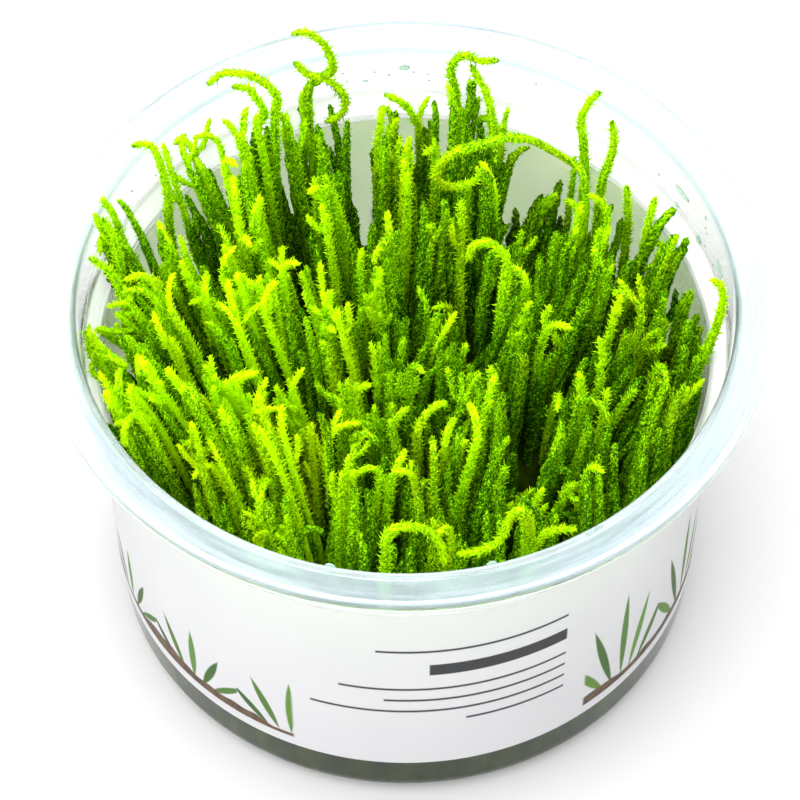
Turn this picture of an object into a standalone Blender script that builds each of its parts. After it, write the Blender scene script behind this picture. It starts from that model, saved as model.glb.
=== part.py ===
"""Moss in a round clear culture cup with a wide lid flange and a wrap-around label.

Metres, +Z up. The origin is the centre of the cup's base, on the surface it stands on.
+X is to the right of someone who faces the label's front, which looks along -Y.
"""
import math
import random

import bmesh
import bpy
from mathutils import Vector, noise

MM = 0.001

# Cup: radii and heights of the outer side, and the wall that is taken off inside
CUP_HEIGHT = 60.0 * MM
CUP_WALL = 0.8 * MM
BASE_THICKNESS = 1.0 * MM
BASE_CORNER_R = 4.0 * MM
BODY_BOTTOM_R = 40.8 * MM
BODY_TOP_R = 41.2 * MM
BODY_TOP_Z = 48.0 * MM
COLLAR_BOTTOM_R = 43.3 * MM
COLLAR_TOP_R = 43.8 * MM
COLLAR_BOTTOM_Z = 50.0 * MM
CUP_SEGMENTS = 64

# Lid flange
FLANGE_R = 48.0 * MM
FLANGE_THICKNESS = 1.1 * MM
FLANGE_LIP_R = 1.1 * MM
FLANGE_RIM_WIDTH = 1.0 * MM
FLANGE_RIM_DROP = 0.9 * MM
FLANGE_EDGE_R = 0.5 * MM

# Label band round the body
LABEL_BOTTOM_Z = 9.2 * MM
LABEL_TOP_Z = 47.2 * MM
LABEL_THICKNESS = 0.2 * MM
GAP = 0.3 * MM

# Moss mat that fills the bottom of the cup
MAT_SIDE_Z = 22.0 * MM
MAT_CROWN_Z = 35.0 * MM
MAT_LUMP = 2.5 * MM
MAT_LUMP_SIZE = 9.0 * MM
MAT_SEGMENTS = 32
MAT_TOP_RINGS = (0.9, 0.68, 0.44, 0.2)

# Upright locks of fronds, on a sunflower pattern
LOCKS = 68
LOCK_SEED = 12
LOCK_FIELD_R = 36.0 * MM
LOCK_ROOT_Z = 17.0 * MM
LOCK_ROOT_R = 3.3 * MM
LOCK_TIP_R = 1.3 * MM
LOCK_TAPER = 1.5
LOCK_SIDES = 5
LOCK_RINGS = 5
LOCK_JITTER = 1.1 * MM
LOCK_SWAY = 1.6 * MM
LOCK_HOOK = 2.6 * MM
LOCK_REACH_R = 39.6 * MM
GOLDEN_ANGLE = math.pi * (3.0 - math.sqrt(5.0))

# Height of the tips: level over most of the cup, higher at the left, low at the back right
TIP_Z = 53.5 * MM
TIP_Z_SPREAD = 3.5 * MM
TIP_RISE_LEFT = 3.5 * MM
TIP_RISE_BACK = 2.5 * MM
HOLLOW_X = 25.0 * MM
HOLLOW_Y = 24.0 * MM
HOLLOW_R = 15.0 * MM
HOLLOW_DEPTH = 9.0 * MM

# Long single fronds that stand above the rest and curl over, as (x, y, z) points in millimetres
CURL_ROOT_R = 1.5 * MM
CURL_TIP_R = 0.85 * MM
CURL_SIDES = 5
CURLED_FRONDS = {
    "crook": ((-12, 35, 22), (-13, 35, 48), (-13, 35, 60), (-10, 35, 64), (-10, 35, 68), (-12, 35, 72),
              (-15, 34, 72)),
    "ear": ((-17, 30, 22), (-18, 30, 50), (-17, 29, 65), (-19, 28, 70), (-23, 28, 71), (-26, 27, 70)),
    "left_back": ((-31, 20, 22), (-32, 21, 46), (-32, 21, 58), (-34, 21, 64), (-36, 20, 65)),
    "left": ((-36, 8, 22), (-37, 9, 45), (-38, 9, 57), (-40, 9, 64)),
    "left_low": ((-34, 3, 22), (-36, 3, 46), (-38, 3, 58), (-41, 3, 62)),
    "beak": ((7, 33, 22), (8, 33, 48), (7, 34, 60), (6, 34, 65), (8, 33, 68), (12, 32, 68)),
    "beak_stem": ((13, 29, 22), (13, 30, 50), (11, 31, 62), (9, 31, 65)),
    "fork": ((6, 35, 22), (4, 36, 46), (0, 36, 56), (-3, 35, 59)),
    "arc": ((24, 20, 22), (24, 21, 50), (23, 20, 60), (17, 19, 67), (11, 19, 67), (5, 20, 63), (4, 22, 59),
            (8, 23, 57)),
    "right_back": ((24, 28, 22), (25, 29, 44), (24, 29, 58), (26, 28, 65)),
    "right_stem": ((27, 23, 22), (28, 24, 48), (28, 24, 62)),
    "right_wall": ((36, -3, 22), (38, -3, 44), (40, -3, 58), (38, -3, 65)),
    "front_arch": ((-4, -33, 22), (-3, -35, 50), (-1, -36, 56), (3, -36, 56), (5, -35, 51)),
    "front_hook": ((16, -30, 22), (15, -32, 50), (15, -33, 57), (11, -34, 54), (7, -34, 51)),
    "bright_hook": ((-29, -10, 22), (-29, -11, 50), (-28, -13, 58), (-26, -16, 58), (-24, -18, 53),
                    (-23, -19, 47)),
    "claw": ((14, 5, 22), (15, 5, 50), (15, 5, 59), (12, 4, 63), (8, 4, 62), (7, 3, 58)),
}


def clear_scene():
    for obj in list(bpy.data.objects):
        bpy.data.objects.remove(obj, do_unlink=True)


def make_material(name, color, roughness, alpha=1.0, transmission=0.0, ior=1.49):
    material = bpy.data.materials.new(name)
    material.use_nodes = True
    shader = material.node_tree.nodes["Principled BSDF"]
    shader.inputs["Base Color"].default_value = (*color, 1.0)
    shader.inputs["Roughness"].default_value = roughness
    shader.inputs["Metallic"].default_value = 0.0
    shader.inputs["Alpha"].default_value = alpha
    shader.inputs["Transmission Weight"].default_value = transmission
    shader.inputs["IOR"].default_value = ior
    material.diffuse_color = (*color, alpha)
    return material


def add_object(name, bm, material, smooth_angle=math.radians(35.0)):
    bmesh.ops.recalc_face_normals(bm, faces=bm.faces)
    mesh = bpy.data.meshes.new(name)
    bm.to_mesh(mesh)
    bm.free()
    mesh.shade_smooth()
    mesh.set_sharp_from_angle(angle=smooth_angle)
    mesh.materials.append(material)
    obj = bpy.data.objects.new(name, mesh)
    bpy.context.scene.collection.objects.link(obj)
    return obj


def arc(center_r, center_z, radius, start_deg, end_deg, steps):
    """Points (r, z) on a circle round (center_r, center_z), both ends included."""
    angles = [math.radians(start_deg + (end_deg - start_deg) * i / steps) for i in range(steps + 1)]
    return [(center_r + radius * math.cos(a), center_z + radius * math.sin(a)) for a in angles]


def turned(profile, segments):
    """Spin a profile of (r, z) points round the Z axis, closed on itself unless it starts on the axis."""
    bm = bmesh.new()
    verts = [bm.verts.new((r, 0.0, z)) for r, z in profile]
    edges = [bm.edges.new(pair) for pair in zip(verts, verts[1:])]
    if profile[0][0] > 0.0:
        edges.append(bm.edges.new((verts[-1], verts[0])))
    bmesh.ops.spin(bm, geom=verts + edges, cent=(0, 0, 0), axis=(0, 0, 1), angle=2.0 * math.pi,
                   steps=segments, use_merge=True)
    bmesh.ops.remove_doubles(bm, verts=bm.verts, dist=0.005 * MM)
    return bm


def cup_outside():
    """The outer side from the base's centre out and up to the flange's top face."""
    under_z = CUP_HEIGHT - FLANGE_THICKNESS
    drop_z = under_z - FLANGE_RIM_DROP
    rim_in = FLANGE_R - FLANGE_RIM_WIDTH
    edge_r = FLANGE_R - FLANGE_EDGE_R
    points = [(0.0, 0.0)]
    points += arc(BODY_BOTTOM_R - BASE_CORNER_R, BASE_CORNER_R, BASE_CORNER_R, -90, 0, 4)
    points += [(BODY_TOP_R, BODY_TOP_Z)]
    points += [(COLLAR_BOTTOM_R - 0.6 * MM, COLLAR_BOTTOM_Z - 0.7 * MM), (COLLAR_BOTTOM_R, COLLAR_BOTTOM_Z)]
    points += [(COLLAR_TOP_R, under_z - 0.5 * MM), (COLLAR_TOP_R + 0.5 * MM, under_z)]
    points += [(rim_in, under_z), (rim_in + 0.2 * MM, drop_z), (FLANGE_R - 0.2 * MM, drop_z)]
    points += arc(edge_r, CUP_HEIGHT - FLANGE_EDGE_R, FLANGE_EDGE_R, 0, 90, 2)
    return points


def cup_inside():
    """The inner side from the flange's rounded lip down to the base's centre."""
    inner_top_r = COLLAR_TOP_R - CUP_WALL
    corner_r = BASE_CORNER_R - CUP_WALL
    points = arc(inner_top_r + FLANGE_LIP_R, CUP_HEIGHT - FLANGE_LIP_R, FLANGE_LIP_R, 90, 180, 3)
    points += [(COLLAR_BOTTOM_R - CUP_WALL, COLLAR_BOTTOM_Z + 0.3 * MM)]
    points += [(COLLAR_BOTTOM_R - CUP_WALL - 0.6 * MM, COLLAR_BOTTOM_Z - 0.5 * MM)]
    points += [(BODY_TOP_R - CUP_WALL, BODY_TOP_Z + 0.2 * MM)]
    points += arc(BODY_BOTTOM_R - BASE_CORNER_R, BASE_THICKNESS + corner_r, corner_r, 0, -90, 3)
    points += [(0.0, BASE_THICKNESS)]
    return points


def build_cup(material):
    return add_object("cup", turned(cup_outside() + cup_inside(), CUP_SEGMENTS), material)


def body_radius(z):
    share = (z - BASE_CORNER_R) / (BODY_TOP_Z - BASE_CORNER_R)
    return BODY_BOTTOM_R + (BODY_TOP_R - BODY_BOTTOM_R) * share


def build_label(material):
    low = body_radius(LABEL_BOTTOM_Z) + GAP
    high = body_radius(LABEL_TOP_Z) + GAP
    profile = [(low, LABEL_BOTTOM_Z), (low + LABEL_THICKNESS, LABEL_BOTTOM_Z),
               (high + LABEL_THICKNESS, LABEL_TOP_Z), (high, LABEL_TOP_Z)]
    return add_object("label", turned(profile, CUP_SEGMENTS), material)


def mat_mesh():
    """A turned cushion that follows the cup's inside with a small gap, its top face raised into lumps."""
    floor_z = BASE_THICKNESS + GAP
    side_r = BODY_BOTTOM_R - CUP_WALL - GAP
    corner_r = BASE_CORNER_R - CUP_WALL
    profile = [(0.0, floor_z)]
    profile += arc(side_r - corner_r, floor_z + corner_r, corner_r, -90, 0, 2)
    profile += [(side_r, MAT_SIDE_Z)]
    profile += [(side_r * share, MAT_SIDE_Z + (MAT_CROWN_Z - MAT_SIDE_Z) * (1.0 - share ** 4))
                for share in MAT_TOP_RINGS]
    profile += [(0.0, MAT_CROWN_Z)]
    bm = turned(profile, MAT_SEGMENTS)
    for vert in bm.verts:
        if vert.co.z > MAT_SIDE_Z + 0.5 * MM:
            vert.co.z += MAT_LUMP * noise.noise(vert.co / MAT_LUMP_SIZE)
    return bm


def add_tube(bm, path, radii, sides):
    """A closed tapering tube round the path, flat at its root and pointed at its tip."""
    rings = []
    side_axis = Vector((1.0, 0.0, 0.0))
    for i, (center, radius) in enumerate(zip(path[:-1], radii)):
        tangent = (path[i + 1] - path[max(i - 1, 0)]).normalized()
        side_axis = (side_axis - tangent * side_axis.dot(tangent)).normalized()
        other_axis = tangent.cross(side_axis)
        angles = [2.0 * math.pi * k / sides for k in range(sides)]
        rings.append([bm.verts.new(center + radius * (side_axis * math.cos(a) + other_axis * math.sin(a)))
                      for a in angles])
    for low, high in zip(rings, rings[1:]):
        for k in range(sides):
            after = (k + 1) % sides
            bm.faces.new((low[k], low[after], high[after], high[k]))
    tip = bm.verts.new(path[-1])
    for k in range(sides):
        bm.faces.new((rings[-1][k], rings[-1][(k + 1) % sides], tip))
    bm.faces.new(list(reversed(rings[0])))


def tip_height(x, y):
    """Height of the moss's upper surface over the point (x, y)."""
    hollow = math.exp(-((x - HOLLOW_X) ** 2 + (y - HOLLOW_Y) ** 2) / HOLLOW_R ** 2)
    return (TIP_Z - TIP_RISE_LEFT * x / LOCK_FIELD_R + TIP_RISE_BACK * y / LOCK_FIELD_R
            - HOLLOW_DEPTH * hollow)


def lock_path(index, rng):
    """Centre line and radii of one lock: upright at its root, leaning outwards, hooked over at its tip."""
    angle = index * GOLDEN_ANGLE
    root_r = LOCK_FIELD_R * math.sqrt((index + 0.5) / LOCKS)
    root = Vector((root_r * math.cos(angle), root_r * math.sin(angle), LOCK_ROOT_Z))
    root += Vector((rng.uniform(-1, 1), rng.uniform(-1, 1), 0)) * LOCK_JITTER
    outward = Vector((math.cos(angle), math.sin(angle), 0.0))
    lean = outward * (LOCK_REACH_R - LOCK_FIELD_R) * root_r / LOCK_FIELD_R
    lean += Vector((rng.uniform(-1, 1), rng.uniform(-1, 1), 0)) * LOCK_SWAY
    hook_angle = rng.uniform(0, 2.0 * math.pi)
    hook = Vector((math.cos(hook_angle), math.sin(hook_angle), 0)) * LOCK_HOOK * rng.random()
    top_z = tip_height(root.x, root.y) + rng.uniform(-1, 1) * TIP_Z_SPREAD
    path = []
    radii = []
    for ring in range(LOCK_RINGS + 1):
        share = ring / LOCK_RINGS
        radius = LOCK_ROOT_R + (LOCK_TIP_R - LOCK_ROOT_R) * share ** LOCK_TAPER
        point = root + lean * share ** 2 + hook * share ** 5
        point.z = LOCK_ROOT_Z + (top_z - LOCK_ROOT_Z) * math.sin(0.5 * math.pi * share) ** 0.85
        spread = math.hypot(point.x, point.y)
        if spread > LOCK_REACH_R - radius:
            point.xy = point.xy * (LOCK_REACH_R - radius) / spread
        path.append(point)
        radii.append(radius)
    return path, radii[:-1]


def fronds_mesh():
    """All the locks and the long curled fronds, each a closed tube that starts inside the mat."""
    rng = random.Random(LOCK_SEED)
    bm = bmesh.new()
    for index in range(LOCKS):
        add_tube(bm, *lock_path(index, rng), LOCK_SIDES)
    for points in CURLED_FRONDS.values():
        path = [Vector(point) * MM for point in points]
        last = len(path) - 1
        radii = [CURL_ROOT_R + (CURL_TIP_R - CURL_ROOT_R) * i / last for i in range(last)]
        add_tube(bm, path, radii, CURL_SIDES)
    return bm


def build_moss(material):
    moss = add_object("moss", mat_mesh(), material)
    fronds = add_object("moss_fronds_cutter", fronds_mesh(), material)
    fronds.hide_render = True
    fronds.display_type = "WIRE"
    fuse = moss.modifiers.new("Fuse fronds to mat", "BOOLEAN")
    fuse.operation = "UNION"
    fuse.use_self = True
    fuse.object = fronds
    return moss


def main():
    clear_scene()
    clear_plastic = make_material("clear_plastic", (0.93, 0.95, 0.95), 0.08, alpha=0.35,
                                  transmission=1.0)
    label_film = make_material("label_film", (0.86, 0.88, 0.92), 0.35)
    moss_green = make_material("moss_green", (0.20, 0.42, 0.03), 0.6)
    build_cup(clear_plastic)
    build_label(label_film)
    build_moss(moss_green)


main()
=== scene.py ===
"""Looks of the moss culture cup: fine fronds, clear cup, printed label, drops, floor, light and camera."""
import math
import random
from typing import NamedTuple

import bmesh
import bpy
import numpy as np
from mathutils import Matrix, Vector, noise


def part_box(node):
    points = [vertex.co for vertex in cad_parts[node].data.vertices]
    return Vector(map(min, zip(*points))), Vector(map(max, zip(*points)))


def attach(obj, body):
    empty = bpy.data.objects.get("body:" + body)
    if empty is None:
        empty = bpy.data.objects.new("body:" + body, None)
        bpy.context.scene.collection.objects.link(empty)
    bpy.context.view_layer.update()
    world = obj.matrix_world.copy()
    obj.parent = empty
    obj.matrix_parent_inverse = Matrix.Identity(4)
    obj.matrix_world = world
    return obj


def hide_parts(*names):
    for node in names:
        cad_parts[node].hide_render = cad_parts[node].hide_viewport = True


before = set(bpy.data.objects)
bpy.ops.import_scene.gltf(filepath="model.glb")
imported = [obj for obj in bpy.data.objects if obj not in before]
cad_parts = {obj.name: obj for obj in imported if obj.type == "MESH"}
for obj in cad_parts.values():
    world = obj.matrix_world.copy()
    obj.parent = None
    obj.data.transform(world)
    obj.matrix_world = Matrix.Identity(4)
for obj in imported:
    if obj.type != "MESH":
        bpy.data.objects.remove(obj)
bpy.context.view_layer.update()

MM = 0.001
GOLDEN_ANGLE = math.pi * (3.0 - math.sqrt(5.0))

# Cup profile as in the solid, but for a raised inner step and softer corners
CUP_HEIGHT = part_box("cup")[1].z
FLANGE_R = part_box("cup")[1].x
CUP_WALL = 0.8 * MM
BASE_THICKNESS = 1.0 * MM
BASE_CORNER_R = 4.0 * MM
BODY_BOTTOM_R = 40.8 * MM
BODY_TOP_R = 41.2 * MM
BODY_TOP_Z = 48.0 * MM
COLLAR_BOTTOM_R = 43.3 * MM
COLLAR_TOP_R = 43.8 * MM
COLLAR_BOTTOM_Z = 50.0 * MM
FLANGE_THICKNESS = 1.1 * MM
FLANGE_LIP_R = 1.1 * MM
FLANGE_RIM_WIDTH = 1.0 * MM
FLANGE_RIM_DROP = 0.9 * MM
FLANGE_EDGE_R = 0.45 * MM
STEP_RAISE = 0.8 * MM
STEP_MIDDLE = 49.6 * MM
STEP_REACH = (1.5 * MM, 1.95 * MM)
STEP_ROUND_R = 0.7 * MM
STEP_ROUND_DROP = 0.1 * MM
FLANGE_FILLET_R = 0.5 * MM
CUP_SEGMENTS = 192
SHARP_FROM = math.radians(35.0)
WELD_WITHIN = 0.002 * MM

# Soft corners of the profile, each as (out, up) in millimetres from a place in it
OUTER_STEP_FOOT = ((-1.6, -1.3),)
RIM_INNER_FOOT = ((0.15, 0.1), (0.35, 0.0))
RIM_OUTER_FOOT = ((-0.3, 0.0), (-0.05, 0.2))
INNER_STEP = ((0.0, 0.3), (-0.25, -0.25), (-0.7, -0.6))
INNER_STEP_FOOT = ((0.0, 0.2),)

# Label, as a thin film close to the wall
LABEL_BOTTOM_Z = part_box("label")[0].z
LABEL_TOP_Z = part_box("label")[1].z
LABEL_GAP = 0.12 * MM
LABEL_THICKNESS = 0.15 * MM
LABEL_R_MM = 41.3

# Felt at the foot of the cushion, pressed wet against the wall
MAT_SIDE_TOP_Z = 20.0 * MM
MAT_CROWN = 9.0 * MM
MAT_PRESS = 0.12 * MM
MAT_LUMP = 1.6 * MM
MAT_LUMP_SIZE = 3.0 * MM
MAT_LUMPY_FROM_Z = MAT_SIDE_TOP_Z + 0.4 * MM
MAT_SHOULDER_Z = MAT_SIDE_TOP_Z + 0.5 * MM
MAT_FOOT_Z = 4.5 * MM
MAT_ROWS = 8
MAT_RINGS = [share / 20 for share in range(19, 0, -2)] + [0.0]
MAT_FLATNESS = 4
MAT_SEGMENTS = 128

# Locks of fronds, laid out as in the solid; fronds and drops are in millimetres
LOCKS = 68
LOCK_SEED = 12
LOCK_FIELD_R = 36.0
LOCK_JITTER = 1.1
LOCK_SWAY = 1.6
LOCK_HOOK = 2.6
LOCK_REACH_R = 39.6
TIP_Z = 53.5
TIP_Z_SPREAD = 3.5
TIP_RISE_LEFT = 3.5
TIP_RISE_BACK = 2.5
HOLLOW_X = 25.0
HOLLOW_Y = 24.0
HOLLOW_R = 15.0
HOLLOW_DEPTH = 9.0
DARK_SPOT = (-3.0, -19.0)
DARK_SPOT_R = 9.0
DARK_SPOT_DEPTH = 8.0
# Painted shade on the fronds of the dark dip
DARK_SPOT_SHADE = 0.1

# Where the fine fronds of a lock stand and how high they reach
FROND_SEED = 5
FROND_ROOT_Z = 22.0
ROOT_INWARD = 0.93
LEAN_OUT = 0.1
LEFT_LEAN = 1.3
RIGHT_LEAN = 0.2
BACK_LEAN = 0.8
FRONT_LEAN = -1.9
LOCK_SPREAD_R = 4.7
FRONT_EDGE_Y = -22.0
FRONT_FADE = 6.0
FRONT_DROP = 1.5
TOP_LIFT = 2.5
BACK_LIFT = 2.0
BACK_FADE = 20.0
LOW_LOCK_GAIN = 1.7
WALL_REACH = 39.2
COLLAR_REACH = 41.6
REACH_GROWS_FROM_Z = 47.0
REACH_GROWS_OVER = 4.0
WALL_GAP_SPOT = (-6.0, 38.0)
WALL_GAP_R = 3.6
WALL_GAP_HALF = 1.3
WALL_GAP_FRONT_Y = 18.0
WALL_GAP_SIGHT_Z = 29.0
SIGHT_DROP = 1.38
MOSS_SECTORS = 8

# Course of one frond: its stem by shares of its height, then its tip by turns in degrees
STEM_SHARES = (0.0, 0.3, 0.55, 0.72, 0.86, 1.0)
LEAN_POWER = 1.4
HOOK_SHARE = 0.35
HOOK_POWER = 4
GATHER = 0.2
SWAY = (0.1, 0.5)
SWAY_HALF_WAVES = 2.5
WOBBLE = 0.15
TIP_RISE = 0.7
HOOKED_BELOW = 0.22
ZIGZAG_BELOW = 0.44
BENT_BELOW = 0.72
HOOK_TURNS = (8, 22, 34, 38, 36)
CURVE_STEPS = 12
FIRST_SIDE = (0.8, 0.6, 0.0)

# Scales of a stem, the blunt end of its tip, and how much crests and grooves shine, as a painted highlight on
# the crests and painted shade in the grooves
TAPER_POWER = 0.8
TIP_BLUNT = 0.35
TIP_ROUND = 2.4
TIP_POINT = 0.4
SCALE_LIFT = (0.1, 1.0)
SCALE_SINK = 0.10
SCALE_FADE = 1.5
SCALE_SLIDE = (0.1, 0.4)
SCALE_SHINE = (0.45, 1.0)
GROOVE_SHINE = (0.0, 0.4)
END_SHINE = (0.0, 0.6)

# Free leaves, each a thin wedge of four corners; their shine is a painted highlight, strongest at the point
LEAFY_SHARE = 0.8
LEAF_TURN = 0.4
LEAF_SLANT = (0.3, 1.8)
LEAF_SIZE = (0.6, 1.25)
LEAF_SMALLEST = 0.5
LEAF_GROWS_OVER = 2.0
LEAF_SEAT = 0.8
LEAF_HEEL = 1.3
LEAF_SHINE = (0.4, 0.4, 0.4, 1.1)
LEAF_FACES = ((0, 2, 1), (0, 1, 3), (1, 2, 3), (2, 0, 3))


class Kind(NamedTuple):
    """Measures of one kind of frond, in millimetres."""
    root_r: float
    tip_r: float
    taper: float
    pitch: float
    zone: float
    leaf_zone: float
    coarse: float = 2.0
    sides: int = 6
    lift: float = 0.24
    leaves_per_mm: float = 8.0
    leaf: float = 0.60
    leaf_half: float = 0.09


ROPE = Kind(root_r=0.78, tip_r=0.32, taper=15.0, pitch=0.6, zone=14.0, leaf_zone=13.0, sides=8)
SLENDER = Kind(root_r=0.52, tip_r=0.36, taper=14.0, pitch=0.5, zone=22.0, leaf_zone=21.0, lift=0.16,
               leaf=0.85, leaf_half=0.11)
CURTAIN = Kind(root_r=0.85, tip_r=0.30, taper=10.0, pitch=0.8, zone=10.0, leaf_zone=8.0, coarse=2.5,
               leaves_per_mm=5.0)
SHOOT = Kind(root_r=0.36, tip_r=0.28, taper=6.0, pitch=0.5, zone=8.0, leaf_zone=6.0, lift=0.16,
             leaves_per_mm=9.0, leaf=0.75, leaf_half=0.11)
CURL = Kind(root_r=0.55, tip_r=0.30, taper=16.0, pitch=0.45, zone=30.0, leaf_zone=26.0, sides=8, lift=0.20,
            leaves_per_mm=12.0, leaf=0.90, leaf_half=0.15)

# Fronds of one lock. A lift is the highest tip over the lock's top, how far down others reach, and a power;
# a tone is the brightness in shade, what painted sunlight adds and the spread. The curtain's are plain ranges
ROPES_PER_LOCK = 6
SLENDER_PER_LOCK = 2
SLENDER_IN_SUN = 4
CURTAIN_PER_LOCK = 5
ROPE_LIFT = (1.5, 14.0, 1.3)
SLENDER_LIFT = (3.5, 9.0, 1.2)
CURTAIN_LIFT = (-18.0, -8.0)
ROPE_TONE = (0.43, 0.34, 0.08)
SLENDER_TONE = (0.74, 0.28, 0.10)
CURTAIN_TONE = (0.30, 0.40)
CURTAIN_SUN = 0.1
PLAYFUL = {ROPE: 0.15, SLENDER: 1.0, CURTAIN: 0.1}
PLACE_STRIDE = 5
VARIATION = (0.8, 1.2)
SLENDER_STEP_GAIN = 1.5
# Painted sunlight: where it is brightest and how far it spreads
SUN_SPOT = (-20.0, -7.0)
SUN_SPREAD = (17.0, 26.0)
SUN_LEAST = 0.1

# Brightness along a frond: painted shade that deepens under the canopy, with less of it on slender fronds in
# painted sunlight
TONE_LIMITS = (0.2, 1.05)
FADE_DEPTH = 20.0
FADE_POWER = 0.6
SHADE_FALL = (0.40, 0.60)
SUN_SAVES = 0.8
DARK_TIP_RUN = 1.4
CURL_TONE = (0.80, 0.95)

# Side shoots of slender fronds; a range of counts ends one above its highest
SHOOT_SHARE = 0.45
SHOOT_COUNT = (1, 3)
SHOOT_FROM_TIP = (3.5, 11.0)
SHOOT_LOWEST = 8.0
SHOOT_BEND = (30, 55)
SHOOT_TURNS = (-8, -10, -8, -6, 10)
SHOOT_LENGTH = (3, 7)

# Fringe by the wall: number, degrees round from the right, heights of the tips, kind and brightness
FRINGE = ((50, (-66.0, 9.0), (44.0, 54.0), ROPE, 0.42), (72, (-170.0, -60.0), (36.0, 47.0), CURTAIN, 0.40),
          (80, (9.0, 190.0), (27.0, 36.0), CURTAIN, 0.34))
FRINGE_SEED = 7
FRINGE_R = 40.0

# Camera, found from the rim, label and base outlines in the photo; its place in metres
LENS_MM = 149.67
SENSOR_MM = 36.0
CAMERA_PLACE = Vector((0.0, -0.2656, 0.4027))
CAMERA_PITCH = math.radians(54.07)
CAMERA_YAW = math.radians(-0.171)
CAMERA_ROLL = math.radians(0.274)

# Light, as a dome with soft-edged patches: direction, angles of edge and core, strength over the dome's
DOME_LIGHT = 0.70
LIGHT_PATCHES = (((-0.30, -0.38, 0.87), (62.0, 15.0), 3.4), ((0.15, 0.93, 0.32), (75.0, 25.0), 1.8),
                 ((-0.96, 0.0, 0.28), (60.0, 15.0), 0.9), ((0.96, 0.0, 0.28), (60.0, 15.0), 0.9))

# Curled fronds that stand out of the cushion: (x, y, z) from the foot to the tip
CURLS = {
    "crook": ((-12, 35, 24), (-13, 35, 45), (-13.3, 35, 53), (-13.2, 35, 60), (-11.8, 35, 62.5),
        (-10, 35, 63.7), (-9.9, 35, 66), (-10.7, 35, 69), (-12.3, 34.8, 71.3), (-13.6, 34.6, 72.2),
        (-15, 34.4, 72)),
    "loop": ((-12.6, 35, 61), (-11.2, 35, 62.4), (-9.4, 35, 60.8), (-8.2, 35, 58), (-8.8, 34.8, 55.2),
        (-10.9, 34.6, 53.8)),
    "twig": ((-11, 35, 62.9), (-12.2, 35, 62.9), (-13.4, 35, 63.4), (-14, 35, 64.4), (-14.9, 35, 65.6)),
    "ear": ((-17, 29, 24), (-17.7, 28.5, 45), (-17.7, 28, 56), (-17.5, 28, 63), (-17.1, 28, 66.2),
        (-18, 28, 68.6), (-19.9, 28, 70.6), (-22, 28, 71.4), (-24.3, 28, 71.3), (-26.2, 27.5, 69.7)),
    "ear_low": ((-19, 31, 24), (-20, 30, 50), (-20, 30, 58), (-19, 30, 61), (-20, 30, 64), (-21, 30, 66),
        (-23, 29.5, 67)),
    "left_back": ((-31, 20, 24), (-32.3, 21, 47), (-32.1, 21, 54.4), (-32.7, 21, 60.7), (-33.5, 21, 64.4),
        (-34.8, 21, 65.3), (-36.2, 21, 64.9)),
    "left": ((-36, 9, 24), (-37.3, 9, 42), (-37.9, 9, 50), (-38.2, 9, 57.4), (-38.7, 9, 61.6),
        (-39.6, 9, 64.3)),
    "left_low": ((-35.5, 4, 24), (-37.2, 4, 44), (-37.4, 4, 53.4), (-38.5, 4, 58.8), (-39.7, 4, 60.9),
        (-41.2, 4, 62.4)),
    "left_front": ((-36, -6, 24), (-37.6, -6, 42), (-38.6, -6, 50), (-39.8, -6, 55.7), (-40.8, -6, 59.6)),
    "beak": ((7, 34, 24), (7.5, 34, 48.5), (7.4, 34, 54.4), (6.8, 34, 61), (6.2, 34, 65.4), (7.7, 34, 68.2),
        (10.1, 33.6, 67.4), (12.4, 33.2, 68)),
    "beak_stem": ((12.5, 30, 24), (12.3, 31, 48), (12.1, 31, 54.4), (11.3, 32.5, 61), (8.9, 33.5, 66.6)),
    "fork": ((5.5, 35, 24), (4.9, 35, 43), (2.1, 35, 51.6), (0, 35, 56.9), (-2.7, 35, 59)),
    "hoop": ((24, 20, 24), (24.4, 20, 48), (23.9, 20.3, 59.2), (21.9, 20.7, 61.9), (19.6, 21, 63.6),
        (16.9, 20.9, 65.8), (13.8, 20.3, 67.2), (10.4, 19.5, 66.8), (6.7, 19, 65.8), (4.8, 19.1, 63.4),
        (4.1, 19.7, 59.5), (6.1, 20.9, 56.3), (8.8, 21.6, 56.3), (10.5, 21.8, 57.9)),
    "right_back": ((24, 30, 24), (24.9, 30, 44.6), (24.5, 30, 53.2), (23.9, 30, 59.4), (24.8, 30, 63),
        (26.1, 29.5, 65.8)),
    "right_stem": ((26.5, 27, 24), (27, 27, 48.4), (27.7, 27, 53.3), (28.3, 27, 58.2), (27.8, 27, 62.7)),
    "right_short": ((30, 22, 24), (30.5, 22, 45.6), (30, 22, 54.9)),
    "right_low": ((32, 19, 24), (32.8, 19, 46.7), (33.6, 19, 56.2)),
    "right_wall": ((36, -3, 24), (38.3, -3, 44), (40.2, -3, 54), (41, -3, 61), (40.6, -3, 65),
        (39.2, -3, 66.4)),
    "front_arch": ((-3, -34, 24), (-2.6, -35, 49), (-2.4, -34.9, 55.1), (-0.8, -34.4, 56.5), (2.4, -34, 55.4),
        (4.3, -34.3, 52.4), (4.9, -34.8, 48.7)),
    "front_hook": ((15.5, -31, 24), (15.6, -32, 48), (15.2, -33, 56.3), (14, -33, 58.2), (12.9, -33.2, 56.4),
        (11.9, -33.5, 52.4), (9.5, -34, 50.6), (6.6, -34, 49.7)),
    "front_reach": ((14.5, -31, 24), (15.5, -32, 44), (16.4, -32, 48.8), (18.2, -32, 52), (21.4, -32, 52.4)),
    "bright_hook": ((-28.5, -11, 24), (-28.5, -12, 48), (-28.2, -14, 57), (-27.2, -16.4, 60.6),
        (-25.8, -17.5, 55.8), (-23.9, -17.8, 50), (-22.8, -18, 45.2), (-23.5, -18, 42.2), (-25.2, -18, 42.3)),
    "claw": ((13.5, 5, 24), (12.7, 5, 45.3), (13.3, 5, 58.5), (12.6, 5, 62), (10.9, 5, 64.1), (8.8, 5, 63.5),
        (8.2, 5, 60.5)),
}

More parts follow.
